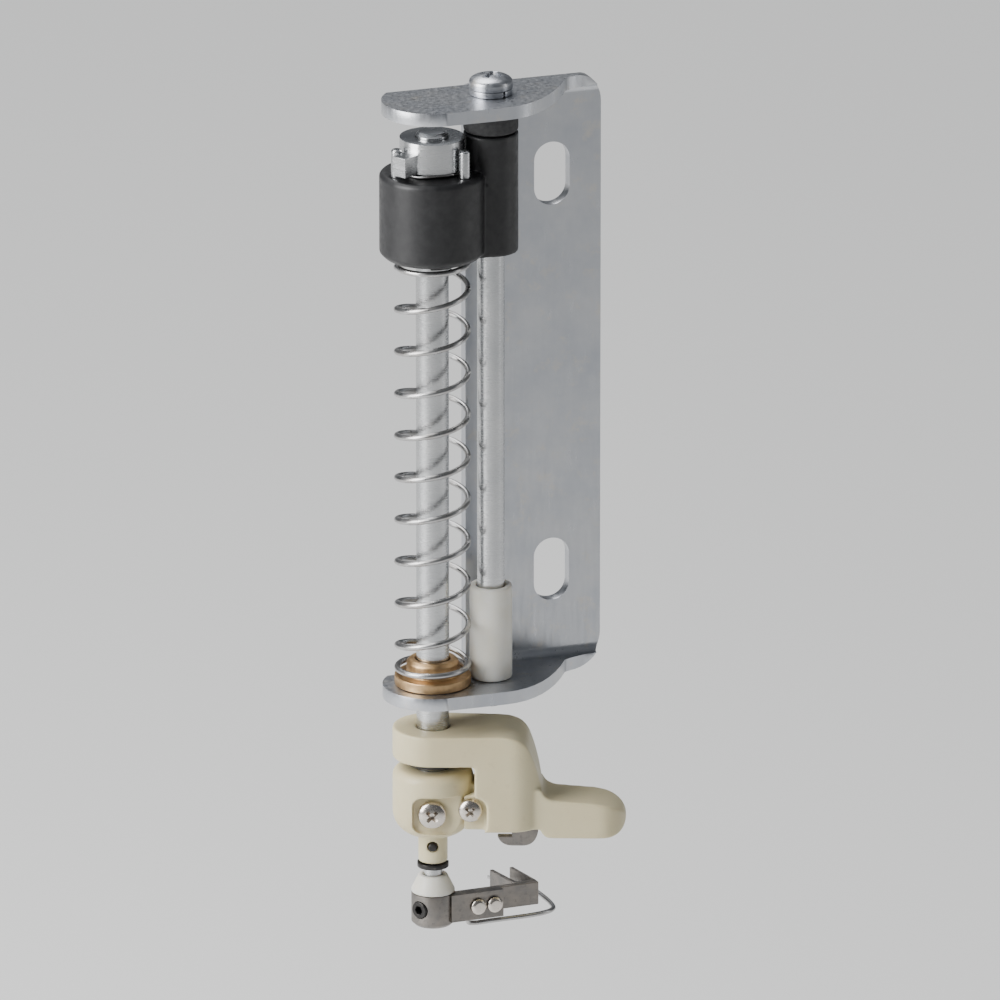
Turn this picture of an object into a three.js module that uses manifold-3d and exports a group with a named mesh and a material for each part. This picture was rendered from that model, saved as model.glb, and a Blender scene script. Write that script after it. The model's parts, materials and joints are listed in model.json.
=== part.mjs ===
// Manual needle threader of a straight-stitch sewing machine, in millimetres, +Z up.
// +X is the machine's right, -Y is towards the operator. The origin is the centre of the bracket's rear face.
// A finger pushes the lever's tab down: shaft, lever and hook head slide down with the carriage against the
// return spring. The same tab then turns the shaft, and the hook swings through the needle's eye.
import * as THREE from "three";
import { mergeVertices } from "three/addons/utils/BufferGeometryUtils.js";
import Module from "manifold-3d";

const wasm = await Module();
wasm.setup();

// ---- Driving dimensions ----
const ROUND = 32; // sides of a full-size round piece
const SMALL_ROUND = 20; // sides of a screw, pin or rivet
const SEAT = 0.05; // gap between pieces that rest on each other
const FIT = 0.1; // radial gap of a bore round its shaft

const SHEET = 1.2; // bracket sheet thickness
const BEND = 0.8; // inside radius of its bends
const PLATE_WIDTH = 13;
const BRACKET_HEIGHT = 57;
const SHAFT_AT = [-11, -5.2]; // X and Y of the threader shaft
const ROD_OFFSET = 5.6; // guide rod, to the right of the shaft
const NOSE_R = 4.6; // ear radius round the shaft

const SHAFT_R = 1.5;
const SHAFT_END_R = 0.85;
const ROD_R = 1.25;
const TRAVEL = 32; // how far the lever goes down
const SPRING_LENGTH = 40; // as fitted, lever up
const SPRING_R = 3.25; // to the middle of the wire
const SPRING_WIRE_R = 0.27;
const SPRING_ACTIVE_TURNS = 9.5;

const SWING = 75; // degrees that the lever turns
const LEVER_REST = -20; // degrees from +X, towards the operator
const HOOK_REST = 2.6; // degrees from +X of the hook arm
const LEVER_DEPTH = 10.1; // top of the lever to the underside of its tab
const CHEEK_DEPTH = 9.25; // to the underside of its body
const ARM_DEPTH = 2.9; // upper arm of the lever
const SLOT = 1.05; // open slot between the upper arm and the hub
const HUB_R = 3.7;
const NECK_R = 1.35;
const NEEDLE_REACH = 9; // shaft axis to needle axis

// ---- Levels ----
const HALF = BRACKET_HEIGHT / 2;
const LOWER_EAR_TOP = -HALF + SHEET;
const UPPER_EAR_UNDER = HALF - SHEET;
const FLANGE_TOP = LOWER_EAR_TOP + SEAT + 0.9;
const CARRIAGE_UNDER = FLANGE_TOP + SEAT + SPRING_LENGTH;
const CARRIAGE_TOP = CARRIAGE_UNDER + 8;
const COLLAR_UNDER = CARRIAGE_TOP + 0.5;
const COLLAR_TOP = COLLAR_UNDER + 2.8;
const SHAFT_TOP = COLLAR_TOP + 0.5;
const BUSH_UNDER = -HALF - 0.8;
const LEVER_TOP = BUSH_UNDER - 2.1;
const HUB_TOP = LEVER_TOP - ARM_DEPTH - SLOT;
const HUB_UNDER = LEVER_TOP - 10.4;
const NECK_UNDER = HUB_UNDER - 2.7;
const SHAFT_STEP = HUB_UNDER + 1.4; // the shaft narrows inside the hub
const CONE_TOP = NECK_UNDER - 1.3;
const HOLDER_UNDER = CONE_TOP - 4.8;
const HOLDER_TOP = HOLDER_UNDER + 3.1;
const HOOK_Z = HOLDER_UNDER + 1.75; // level of the hook

// ---- Solids ----
function solidOf(geometry) {
  const bare = geometry.index ? geometry.toNonIndexed() : geometry.clone();
  bare.deleteAttribute("normal");
  bare.deleteAttribute("uv");
  const merged = mergeVertices(bare, 1e-4);
  return new wasm.Manifold(
    new wasm.Mesh({
      numProp: 3,
      vertProperties: merged.attributes.position.array,
      triVerts: new Uint32Array(merged.index.array),
    }),
  );
}

function geometryOf(solid) {
  const mesh = solid.getMesh();
  return new THREE.BufferGeometry()
    .setAttribute("position", new THREE.BufferAttribute(new Float32Array(mesh.vertProperties), 3))
    .setIndex(new THREE.BufferAttribute(new Uint32Array(mesh.triVerts), 1));
}

// Upright cylinder between two levels.
function post(radius, under, top, [x, y] = [0, 0], sides = ROUND) {
  const shape = new THREE.CylinderGeometry(radius, radius, top - under, sides);
  return solidOf(shape.rotateX(Math.PI / 2).translate(x, y, (top + under) / 2));
}

// Cylinder along Y, between two depths.
function crossPin(radius, front, back, [x, z], sides = SMALL_ROUND) {
  const shape = new THREE.CylinderGeometry(radius, radius, back - front, sides);
  return solidOf(shape.translate(x, (front + back) / 2, z));
}

// Body turned about Z from a profile of [radius, level]; a ring's profile runs anticlockwise.
function turned(profile, sides = ROUND) {
  const points = profile.map(([r, z]) => new THREE.Vector2(r, z));
  return solidOf(new THREE.LatheGeometry(points, sides).rotateX(Math.PI / 2));
}

function ring(inner, outer, under, top, sides = ROUND) {
  return turned([[inner, under], [outer, under], [outer, top], [inner, top], [inner, under]], sides);
}

function block([x0, x1], [y0, y1], [z0, z1]) {
  const shape = new THREE.BoxGeometry(x1 - x0, y1 - y0, z1 - z0);
  return solidOf(shape.translate((x0 + x1) / 2, (y0 + y1) / 2, (z0 + z1) / 2));
}

// Outline in X and Y, raised between two levels.
function raised(outline, under, top) {
  const options = { depth: top - under, bevelEnabled: false, curveSegments: 10 };
  return solidOf(new THREE.ExtrudeGeometry(outline, options).translate(0, 0, under));
}

// Outline in X and Z, drawn out along Y.
function drawnAlongY(outline, front, back) {
  const options = { depth: back - front, bevelEnabled: false, curveSegments: 8 };
  return solidOf(new THREE.ExtrudeGeometry(outline, options).rotateX(Math.PI / 2).translate(0, back, 0));
}

// Round wire along a curve.
function wire(path, radius, steps, sides = 8) {
  const angles = Array.from({ length: sides }, (_, i) => (2 * Math.PI * i) / sides);
  const corners = angles.map((a) => new THREE.Vector2(radius * Math.cos(a), radius * Math.sin(a)));
  const options = { extrudePath: path, steps, bevelEnabled: false };
  return solidOf(new THREE.ExtrudeGeometry(new THREE.Shape(corners), options));
}

// Open retaining ring that snaps into a groove, its mouth towards +X.
function clip(grooveR, outerR, under, top) {
  const mouth = block([0, outerR + 1], [-grooveR * 0.8, grooveR * 0.8], [under - 1, top + 1]);
  return ring(grooveR + SEAT, outerR, under, top, SMALL_ROUND).subtract(mouth);
}

function turnedAbout(solid, degrees) {
  return solid.rotate([0, 0, degrees]);
}

// ---- Bracket, fixed to the machine ----
// Side view of the folded sheet: rear plate with an ear at each end.
function bracketSideView() {
  const outer = SHEET + BEND;
  const reach = SHAFT_AT[1] - NOSE_R - 1;
  const low = -HALF;
  const view = new THREE.Shape();
  view.moveTo(reach, low);
  view.lineTo(-outer, low);
  view.absarc(-outer, low + outer, outer, -Math.PI / 2, 0);
  view.lineTo(0, HALF - outer);
  view.absarc(-outer, HALF - outer, outer, 0, Math.PI / 2);
  view.lineTo(reach, HALF);
  view.lineTo(reach, HALF - SHEET);
  view.lineTo(-outer, HALF - SHEET);
  view.absarc(-outer, HALF - outer, BEND, Math.PI / 2, 0, true);
  view.lineTo(-SHEET, low + outer);
  view.absarc(-outer, low + outer, BEND, 0, -Math.PI / 2, true);
  view.lineTo(reach, low + SHEET);
  return view;
}

// Top view: the plate's width, and the ears' nose round the shaft.
function bracketTopView() {
  const [x, y] = SHAFT_AT;
  const side = PLATE_WIDTH / 2;
  const bendEnd = -SHEET - BEND;
  const view = new THREE.Shape();
  view.moveTo(side, 1);
  view.lineTo(-side, 1);
  view.lineTo(-side, bendEnd);
  view.absarc(x, y, NOSE_R, Math.PI - Math.asin((bendEnd - y) / NOSE_R), (3 * Math.PI) / 2);
  view.lineTo(x + ROD_OFFSET, y - NOSE_R);
  view.quadraticCurveTo(x + ROD_OFFSET + 4, y - NOSE_R, side - 4, bendEnd - 1);
  view.quadraticCurveTo(side - 2, bendEnd, side, bendEnd);
  return view;
}

// Front view of the plate with rounded corners at its free right edge.
function bracketFrontView() {
  const corner = 3;
  const side = PLATE_WIDTH / 2;
  const left = SHAFT_AT[0] - NOSE_R - 1;
  const view = new THREE.Shape();
  view.moveTo(left, -HALF - 1);
  view.lineTo(side - corner, -HALF - 1);
  view.lineTo(side - corner, -HALF);
  view.absarc(side - corner, -HALF + corner, corner, -Math.PI / 2, 0);
  view.absarc(side - corner, HALF - corner, corner, 0, Math.PI / 2);
  view.lineTo(side - corner, HALF + 1);
  view.lineTo(left, HALF + 1);
  return view;
}

function mountingSlot(level) {
  const slotR = 1.7;
  const halfRun = 1.3;
  const slot = new THREE.Shape();
  slot.absarc(1.8, level + halfRun, slotR, 0, Math.PI);
  slot.absarc(1.8, level - halfRun, slotR, Math.PI, 2 * Math.PI);
  return drawnAlongY(slot, -3, 2);
}

function bracket() {
  const [x, y] = SHAFT_AT;
  const sheetShape = new THREE.ExtrudeGeometry(bracketSideView(), {
    depth: 30,
    bevelEnabled: false,
    curveSegments: 6,
  });
  const toRow = new THREE.Matrix4().makeBasis(
    new THREE.Vector3(0, 1, 0),
    new THREE.Vector3(0, 0, 1),
    new THREE.Vector3(1, 0, 0),
  );
  const folded = solidOf(sheetShape.applyMatrix4(toRow).translate(-20, 0, 0));
  return folded
    .intersect(raised(bracketTopView(), -HALF - 1, HALF + 1))
    .intersect(drawnAlongY(bracketFrontView(), -20, 5))
    .subtract(post(2.4 + FIT, -HALF - 1, LOWER_EAR_TOP + 1, SHAFT_AT))
    .subtract(post(ROD_R + FIT, -HALF - 1, LOWER_EAR_TOP + 1, [x + ROD_OFFSET, y]))
    .subtract(post(1.1, UPPER_EAR_UNDER - 1, HALF + 1, [x + ROD_OFFSET, y]))
    .subtract(mountingSlot(19))
    .subtract(mountingSlot(-19));
}

function shaftBush() {
  const bore = SHAFT_R + FIT;
  const barrel = 2.4;
  const flange = 3.5;
  const under = LOWER_EAR_TOP + SEAT;
  return turned([
    [bore, BUSH_UNDER],
    [barrel - 0.3, BUSH_UNDER],
    [barrel, BUSH_UNDER + 0.3],
    [barrel, under],
    [flange, under],
    [flange, FLANGE_TOP],
    [barrel, FLANGE_TOP],
    [barrel, FLANGE_TOP + 1.2],
    [barrel - 0.3, FLANGE_TOP + 1.5],
    [bore, FLANGE_TOP + 1.5],
    [bore, BUSH_UNDER],
  ]);
}

const ROD_CLIP_TOP = -HALF - SEAT;

function guideRod() {
  const top = UPPER_EAR_UNDER - SEAT;
  const end = -HALF - 1.4;
  return post(ROD_R, end, top)
    .subtract(ring(0.95, 3, ROD_CLIP_TOP - 0.6, ROD_CLIP_TOP + SEAT, SMALL_ROUND))
    .subtract(post(1.05, top - 4.5, top + 1, [0, 0], SMALL_ROUND));
}

// Pan head screw, head up, its cross recess cut in the top.
function panScrew(shankR, headR, headHeight, length) {
  const head = turned(
    [
      [0, -length],
      [shankR, -length],
      [shankR, 0],
      [headR, 0],
      [headR, headHeight * 0.55],
      [headR * 0.72, headHeight],
      [0, headHeight],
    ],
    SMALL_ROUND,
  );
  const arm = headR * 0.6;
  const half = headR * 0.13;
  const floor = headHeight * 0.45;
  return head
    .subtract(block([-arm, arm], [-half, half], [floor, headHeight + 1]))
    .subtract(block([-half, half], [-arm, arm], [floor, headHeight + 1]));
}

const LOCK_WASHER = 0.5;

// Split washer, sprung a little open.
function lockWasher() {
  const under = HALF + SEAT;
  const split = block([0, 3], [-0.12, 0.12], [under - 1, under + 1]);
  return ring(1.15, 1.95, under, under + LOCK_WASHER).subtract(split);
}

// ---- Carriage, which slides without turning ----
const STOP_PIN_RADIUS = 3.6; // from the shaft
const STOP_PIN_R = 0.5;
const LUG_HALF = 0.75; // half width of the collar's lug
const LUG_REST = -150; // degrees, towards the operator's left
const STOP_CLEAR = THREE.MathUtils.radToDeg(Math.asin((LUG_HALF + STOP_PIN_R + SEAT) / STOP_PIN_RADIUS));
const STOP_ANGLES = [LUG_REST - STOP_CLEAR, LUG_REST + SWING + STOP_CLEAR]; // lever at rest, lever turned

function stopPinAt(degrees) {
  const a = THREE.MathUtils.degToRad(degrees);
  return [STOP_PIN_RADIUS * Math.cos(a), STOP_PIN_RADIUS * Math.sin(a)];
}

// Dowel pressed into the carriage.
function stopPin(degrees) {
  return post(STOP_PIN_R, CARRIAGE_TOP - 4, CARRIAGE_TOP + 2.6, stopPinAt(degrees), SMALL_ROUND);
}

function carriageBlock() {
  const rod = [ROD_OFFSET, 0];
  const bossR = 4.8;
  const rodBossR = 2.5;
  const rodBossTop = UPPER_EAR_UNDER - 2.35;
  const pinHoles = STOP_ANGLES.map((degrees) =>
    post(STOP_PIN_R + SEAT, CARRIAGE_TOP - 4 - SEAT, CARRIAGE_TOP + 1, stopPinAt(degrees), SMALL_ROUND),
  );
  const boss = turned([
    [0, CARRIAGE_UNDER],
    [bossR - 0.5, CARRIAGE_UNDER],
    [bossR, CARRIAGE_UNDER + 0.5],
    [bossR, CARRIAGE_TOP - 0.3],
    [bossR - 0.3, CARRIAGE_TOP],
    [0, CARRIAGE_TOP],
  ]);
  const waist = block([0, ROD_OFFSET], [-2.3, 2.3], [CARRIAGE_UNDER, CARRIAGE_TOP - 1.2]);
  return boss
    .add(post(rodBossR, CARRIAGE_UNDER, rodBossTop, rod))
    .add(waist)
    .subtract(pinHoles[0])
    .subtract(pinHoles[1])
    .subtract(post(SHAFT_R + FIT, CARRIAGE_UNDER - 1, CARRIAGE_TOP + 1))
    .subtract(post(ROD_R + FIT, CARRIAGE_UNDER - 1, rodBossTop + 1, rod));
}

// Compression spring with a closed turn at each end.
class SpringLine extends THREE.Curve {
  constructor(under, top) {
    super();
    this.under = under;
    this.top = top;
  }
  getPoint(t) {
    const closed = 1;
    const closedPitch = 2 * SPRING_WIRE_R + 0.06;
    const turn = t * (SPRING_ACTIVE_TURNS + 2 * closed);
    const run = this.top - this.under - 2 * closedPitch;
    const openTurn = THREE.MathUtils.clamp(turn - closed, 0, SPRING_ACTIVE_TURNS);
    const endTurns = Math.min(turn, closed) + Math.max(turn - closed - SPRING_ACTIVE_TURNS, 0);
    const z = this.under + endTurns * closedPitch + (run * openTurn) / SPRING_ACTIVE_TURNS;
    const a = turn * 2 * Math.PI;
    return new THREE.Vector3(SPRING_R * Math.cos(a), SPRING_R * Math.sin(a), z);
  }
}

function returnSpring() {
  const line = new SpringLine(FLANGE_TOP + SEAT + SPRING_WIRE_R, CARRIAGE_UNDER - SEAT - SPRING_WIRE_R);
  return wire(line, SPRING_WIRE_R, 12 * (SPRING_ACTIVE_TURNS + 2), 6);
}

// ---- Shaft and lever, which slide and turn ----
const SET_SCREW_Z = HUB_UNDER + 2.7;
const PIN_Z = HUB_UNDER - 1;
const END_CLIP_TOP = NECK_UNDER - 0.1;
const LEVER_CLIP_TOP = LEVER_TOP - ARM_DEPTH - 0.1;
const CARRIAGE_CLIP_TOP = CARRIAGE_UNDER - 0.2;
const COLLAR_SCREW_Z = (COLLAR_UNDER + COLLAR_TOP) / 2;
const SHAFT_END = HOLDER_UNDER - 0.3;

function threaderShaft() {
  const chamfer = 0.3;
  const flat = SHAFT_R - 0.3;
  return turned([
    [0, SHAFT_END],
    [SHAFT_END_R - chamfer, SHAFT_END],
    [SHAFT_END_R, SHAFT_END + chamfer],
    [SHAFT_END_R, SHAFT_STEP],
    [SHAFT_R, SHAFT_STEP],
    [SHAFT_R, SHAFT_TOP - chamfer],
    [SHAFT_R - chamfer, SHAFT_TOP],
    [0, SHAFT_TOP],
  ])
    .subtract(ring(SHAFT_R - 0.3, 3, CARRIAGE_CLIP_TOP - 0.5, CARRIAGE_CLIP_TOP + SEAT))
    .subtract(ring(SHAFT_R - 0.3, 3, LEVER_CLIP_TOP - 0.5, LEVER_CLIP_TOP + SEAT))
    .subtract(ring(SHAFT_END_R - 0.25, 3, END_CLIP_TOP - 0.5, END_CLIP_TOP + SEAT))
    .subtract(block([-2, 2], [-2, -flat], [SET_SCREW_Z - 1.3, SET_SCREW_Z + 1.3]))
    .subtract(crossPin(0.45, -2, 2, [0, PIN_Z]));
}

function stopCollar() {
  const outer = 2.95;
  return ring(SHAFT_R + SEAT, outer, COLLAR_UNDER, COLLAR_TOP)
    .add(block([outer - 0.7, 4.5], [-LUG_HALF, LUG_HALF], [COLLAR_UNDER, COLLAR_TOP - 1]))
    .subtract(crossPin(0.9, -4, -1, [0, COLLAR_SCREW_Z]));
}

// Set screw without a head, its axis along Y and its slot towards the operator.
function grubScrew(radius, front, back, level) {
  return crossPin(radius, front, back, [0, level]).subtract(
    block([-2, 2], [front - 1, front + 0.5], [level - 0.15, level + 0.15]),
  );
}

// Hub: rounded shoulder, straight barrel, bulb and neck, with a lug that the lever is screwed to.
const LUG_X = [2.5, 6.3];
const LEVER_SCREW_AT = [3.5, LEVER_TOP - 7.2];
const RECESS_FLOOR = -2.6; // Y of the shallow recess that both screws sit in
const RECESS_TOP = LEVER_TOP - 5.9;

// Recess across the hub and the lever's cheek, with round corners.
function screwRecess() {
  const corner = 1.1;
  const [left, right] = [-1.8, 5];
  const under = LEVER_TOP - 9.6;
  const view = new THREE.Shape();
  view.absarc(left + corner, RECESS_TOP - corner, corner, Math.PI / 2, Math.PI);
  view.absarc(left + corner, under + corner, corner, Math.PI, 1.5 * Math.PI);
  view.absarc(right - corner, under + corner, corner, -Math.PI / 2, 0);
  view.absarc(right - corner, RECESS_TOP - corner, corner, 0, Math.PI / 2);
  return drawnAlongY(view, -5, RECESS_FLOOR);
}

function shaftHub() {
  const bore = SHAFT_R + SEAT;
  const endBore = SHAFT_END_R + FIT;
  const quarter = Math.PI / 2;
  const bulb = new THREE.EllipseCurve(NECK_R, HUB_UNDER + 2.3, HUB_R - NECK_R, 2.3, -quarter, 0);
  const round = 0.8;
  const shoulder = new THREE.EllipseCurve(HUB_R - round, HUB_TOP - round, round, round, 0, quarter);
  const body = turned([
    [endBore, NECK_UNDER],
    [NECK_R, NECK_UNDER],
    ...bulb.getPoints(6).map((p) => [p.x, p.y]),
    ...shoulder.getPoints(5).map((p) => [p.x, p.y]),
    [bore, HUB_TOP],
    [bore, SHAFT_STEP - SEAT],
    [endBore, SHAFT_STEP - SEAT],
    [endBore, NECK_UNDER],
  ]);
  const lug = block(LUG_X, [-1.45, 1.45], [LEVER_TOP - 8.75, LEVER_TOP - 5.2]);
  return body
    .add(lug)
    .subtract(screwRecess())
    .subtract(crossPin(1, -3, -1, [0, SET_SCREW_Z]))
    .subtract(crossPin(0.9, -3, 3, LEVER_SCREW_AT))
    .subtract(crossPin(0.5, -3, 3, [0, PIN_Z]));
}

// Side view of the lever: upper arm, bulging back, finger tab with a round end, and the cheek beside the hub.
function leverSideView() {
  const view = new THREE.Shape();
  const z = (depth) => LEVER_TOP - depth;
  view.moveTo(-4, z(0));
  view.lineTo(6, z(0));
  view.quadraticCurveTo(8.2, z(0), 8.8, z(1.3));
  view.quadraticCurveTo(9.6, z(3.1), 9.9, z(5.1));
  view.quadraticCurveTo(10.1, z(6.4), 11.6, z(6.45));
  view.lineTo(14.8, z(6.7));
  view.quadraticCurveTo(17.7, z(7.1), 17.7, z(8.5));
  view.quadraticCurveTo(17.7, z(LEVER_DEPTH), 15.6, z(LEVER_DEPTH));
  view.lineTo(11, z(LEVER_DEPTH));
  view.quadraticCurveTo(10.1, z(LEVER_DEPTH), 9.9, z(CHEEK_DEPTH));
  view.lineTo(2.3, z(CHEEK_DEPTH));
  view.lineTo(2.3, RECESS_TOP);
  view.lineTo(3.9, RECESS_TOP);
  view.lineTo(3.9, z(ARM_DEPTH));
  view.lineTo(-4, z(ARM_DEPTH));
  return view;
}

const CHEEK_HALF = 3.4; // half thickness of the lever's body at its far end
const TAB_HALF = 2.5; // half width of its tab

// Top view of the body: round the shaft, with cheeks that narrow towards a rounded far end.
function leverBodyTopView() {
  const endR = 2.9;
  const [cornerX, cornerY] = [10.1 - endR, CHEEK_HALF - endR];
  const meets = Math.atan2(cornerY, cornerX) + Math.acos((HUB_R - endR) / Math.hypot(cornerX, cornerY));
  const view = new THREE.Shape();
  view.absarc(0, 0, HUB_R, meets, 2 * Math.PI - meets);
  view.absarc(cornerX, -cornerY, endR, -meets, 0);
  view.absarc(cornerX, cornerY, endR, 0, meets);
  return view;
}

// Top view of the finger tab with its round end, running back into the body.
function leverTabTopView() {
  const view = new THREE.Shape();
  view.moveTo(4, -TAB_HALF);
  view.absarc(17.75 - TAB_HALF, 0, TAB_HALF, -Math.PI / 2, Math.PI / 2);
  view.lineTo(4, TAB_HALF);
  return view;
}

const GUIDE_X = [5.8, 9.7];
const GUIDE_TANG_X = [6.8, 8.8];
const GUIDE_Y = [-1.9, -1.1];

function fingerLever() {
  const under = LEVER_TOP - LEVER_DEPTH - 1;
  const over = LEVER_TOP + 1;
  const hubTop = LEVER_TOP - ARM_DEPTH - SLOT / 2;
  const [tangLeft, tangRight] = GUIDE_TANG_X;
  const [tangFront, tangBack] = GUIDE_Y;
  const plan = raised(leverBodyTopView(), under, over).add(raised(leverTabTopView(), under, LEVER_TOP - 5.4));
  return drawnAlongY(leverSideView(), -5, 5)
    .intersect(plan)
    .subtract(post(HUB_R + 0.15, under, hubTop))
    .subtract(post(SHAFT_R + SEAT, under, over))
    .subtract(block([2, LUG_X[1] + 0.1], [-1.55, 1.55], [LEVER_TOP - 8.85, LEVER_TOP - 5.1]))
    .subtract(screwRecess())
    .subtract(crossPin(0.9, -3, 2.6, LEVER_SCREW_AT))
    .subtract(
      block(
        [tangLeft - SEAT, tangRight + SEAT],
        [tangFront - SEAT, tangBack + SEAT],
        [LEVER_TOP - 9.9, LEVER_TOP - 7.2],
      ),
    );
}

// Sheet guide under the lever that the thread is laid over, with an open slit for it.
function threadGuide() {
  const z = (depth) => LEVER_TOP - depth;
  const [left, right] = GUIDE_X;
  const [tangLeft, tangRight] = GUIDE_TANG_X;
  const shoulder = CHEEK_DEPTH + SEAT;
  const view = new THREE.Shape();
  view.moveTo(left, z(shoulder));
  view.quadraticCurveTo(left + 0.1, z(11), left + 1.5, z(11));
  view.lineTo(right - 1.5, z(11));
  view.quadraticCurveTo(right - 0.1, z(11), right, z(shoulder));
  view.lineTo(tangRight, z(shoulder));
  view.lineTo(tangRight, z(7.3));
  view.lineTo(tangLeft, z(7.3));
  view.lineTo(tangLeft, z(shoulder));
  const [front, back] = GUIDE_Y;
  const slit = block([left - 1, left + 1.5], [front - 1, back + 1], [z(10.05), z(9.7)]);
  return drawnAlongY(view, front, back).subtract(slit);
}

// ---- Hook head at the shaft's lower end: +X radial, +Y the way it swings towards the needle ----
const RIVETS_X = [3.7, 5.3];
const STRIP_Z = [HOOK_Z - 1.1, HOOK_Z + 1.1];
const WIRE_HOLE_X = 2.9;

const HOLDER_R = 2;

// Tapered spacer between the end clip and the hook holder.
function spacerCone() {
  const bore = SHAFT_END_R + SEAT;
  const under = HOLDER_TOP + SEAT;
  return turned([
    [bore, under],
    [HOLDER_R, under],
    [HOLDER_R, under + 0.2],
    [1.3, CONE_TOP],
    [bore, CONE_TOP],
    [bore, under],
  ]);
}

function hookHolder() {
  const bore = SHAFT_END_R + SEAT;
  const body = turned([
    [bore, HOLDER_UNDER],
    [HOLDER_R - 0.3, HOLDER_UNDER],
    [HOLDER_R, HOLDER_UNDER + 0.3],
    [HOLDER_R, HOLDER_TOP],
    [bore, HOLDER_TOP],
    [bore, HOLDER_UNDER],
  ]);
  const arm = block([1.1, 6.2], [-1.9, -0.7], [HOOK_Z - 1.3, HOOK_Z + 1.3]);
  let holder = body.add(arm).subtract(post(bore, HOLDER_UNDER - 1, HOLDER_TOP + 1));
  for (const x of RIVETS_X) holder = holder.subtract(crossPin(0.5, -3, 0, [x, HOOK_Z]));
  return holder
    .subtract(post(0.32, HOLDER_UNDER - 1, HOOK_Z, [WIRE_HOLE_X, -1.35], 12))
    .subtract(turnedAbout(crossPin(0.85, -4, -0.5, [0, HOOK_Z]), -60));
}

function hookArm() {
  let strip = block([2.6, 10.15], [-0.65, -0.15], STRIP_Z);
  for (const x of RIVETS_X) strip = strip.subtract(crossPin(0.5, -3, 1, [x, HOOK_Z]));
  return strip;
}

function rivet(x) {
  return crossPin(0.4, -2.3, 0.15, [x, HOOK_Z])
    .add(crossPin(0.75, -2.4, -2.05, [x, HOOK_Z]))
    .add(crossPin(0.75, -0.1, 0.25, [x, HOOK_Z]));
}

// Fork of thin sheet whose prongs pass either side of the needle, leaning in to follow the swing.
function needleFork() {
  const half = 1.15;
  const sheet = 0.35;
  const lean = 10; // degrees
  const prong = turnedAbout(block([0, sheet], [0, 4.2], STRIP_Z), lean);
  return block([-half, half], [0, sheet], STRIP_Z)
    .add(prong.translate([-half, 0, 0]))
    .add(prong.translate([half - sheet, 0, 0]))
    .translate([NEEDLE_REACH, -0.1, 0]);
}

// Fine hook on an arc about the shaft, with its barb cut in the inner side.
function threadingHook() {
  const from = THREE.MathUtils.degToRad(2);
  const to = THREE.MathUtils.degToRad(35);
  const height = 0.3;
  const outline = new THREE.Shape();
  outline.absarc(0, 0, NEEDLE_REACH + 0.18, from, to);
  outline.absarc(0, 0, NEEDLE_REACH - 0.18, to - 0.03, from, true);
  const barbAt = new THREE.Vector3(NEEDLE_REACH, 0, 0).applyAxisAngle(new THREE.Vector3(0, 0, 1), to - 0.14);
  const barb = post(0.2, -1, 1, [barbAt.x * 0.985, barbAt.y * 0.985], 12);
  return raised(outline, -height / 2, height / 2).subtract(barb).translate([0, 0, HOOK_Z]);
}

// Sprung wire that holds the thread across the hook's path.
function threadWire() {
  const low = HOLDER_UNDER - 0.05;
  const line = new THREE.CatmullRomCurve3(
    [
      [WIRE_HOLE_X, -1.35, HOOK_Z - 0.1],
      [WIRE_HOLE_X, -1.35, HOOK_Z - 1.5],
      [3.5, -1.35, low],
      [5.5, -1.35, low],
      [9.5, -1.3, low],
      [11.5, -0.6, low],
      [12, 1.2, low],
      [11.8, 4.4, low + 0.1],
      [11.2, 6, low + 0.5],
      [10.2, 6.3, low + 1.2],
    ].map((p) => new THREE.Vector3(...p)),
  );
  return wire(line, 0.22, 44, 8);
}

// ---- Materials ----
const steel = new THREE.MeshStandardMaterial({ color: 0xc9cbcc, roughness: 0.25, metalness: 1 });
const springSteel = new THREE.MeshStandardMaterial({ color: 0xa9abac, roughness: 0.3, metalness: 1 });
const temperedSteel = new THREE.MeshStandardMaterial({ color: 0x66625e, roughness: 0.45, metalness: 1 });
const zinc = new THREE.MeshStandardMaterial({ color: 0xb9bcc0, roughness: 0.4, metalness: 1 });
const bronze = new THREE.MeshStandardMaterial({ color: 0xb08d57, roughness: 0.45, metalness: 1 });
const blackAcetal = new THREE.MeshStandardMaterial({ color: 0x1c1c1e, roughness: 0.5, metalness: 0 });
const nylon = new THREE.MeshStandardMaterial({ color: 0xe8e6df, roughness: 0.5, metalness: 0 });
const rubber = new THREE.MeshStandardMaterial({ color: 0x26262a, roughness: 0.85, metalness: 0 });
const creamPlastic = new THREE.MeshStandardMaterial({ color: 0xdad2bd, roughness: 0.42, metalness: 0 });
const blackened = new THREE.MeshStandardMaterial({ color: 0x2b2a29, roughness: 0.45, metalness: 1 });

// ---- Assembly ----
const threader = new THREE.Group();
const onRod = new THREE.Group();
onRod.position.set(SHAFT_AT[0] + ROD_OFFSET, SHAFT_AT[1], 0);
const onShaft = new THREE.Group();
onShaft.position.set(SHAFT_AT[0], SHAFT_AT[1], 0);
const collarFrame = new THREE.Group();
collarFrame.rotation.z = THREE.MathUtils.degToRad(LUG_REST);
const leverFrame = new THREE.Group();
leverFrame.rotation.z = THREE.MathUtils.degToRad(LEVER_REST);
const hookFrame = new THREE.Group();
hookFrame.rotation.z = THREE.MathUtils.degToRad(HOOK_REST);
threader.add(onRod, onShaft);
onShaft.add(collarFrame, leverFrame, hookFrame);

function place(parent, name, solid, material) {
  const mesh = new THREE.Mesh(geometryOf(solid), material);
  mesh.name = name;
  parent.add(mesh);
  return mesh;
}

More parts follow.
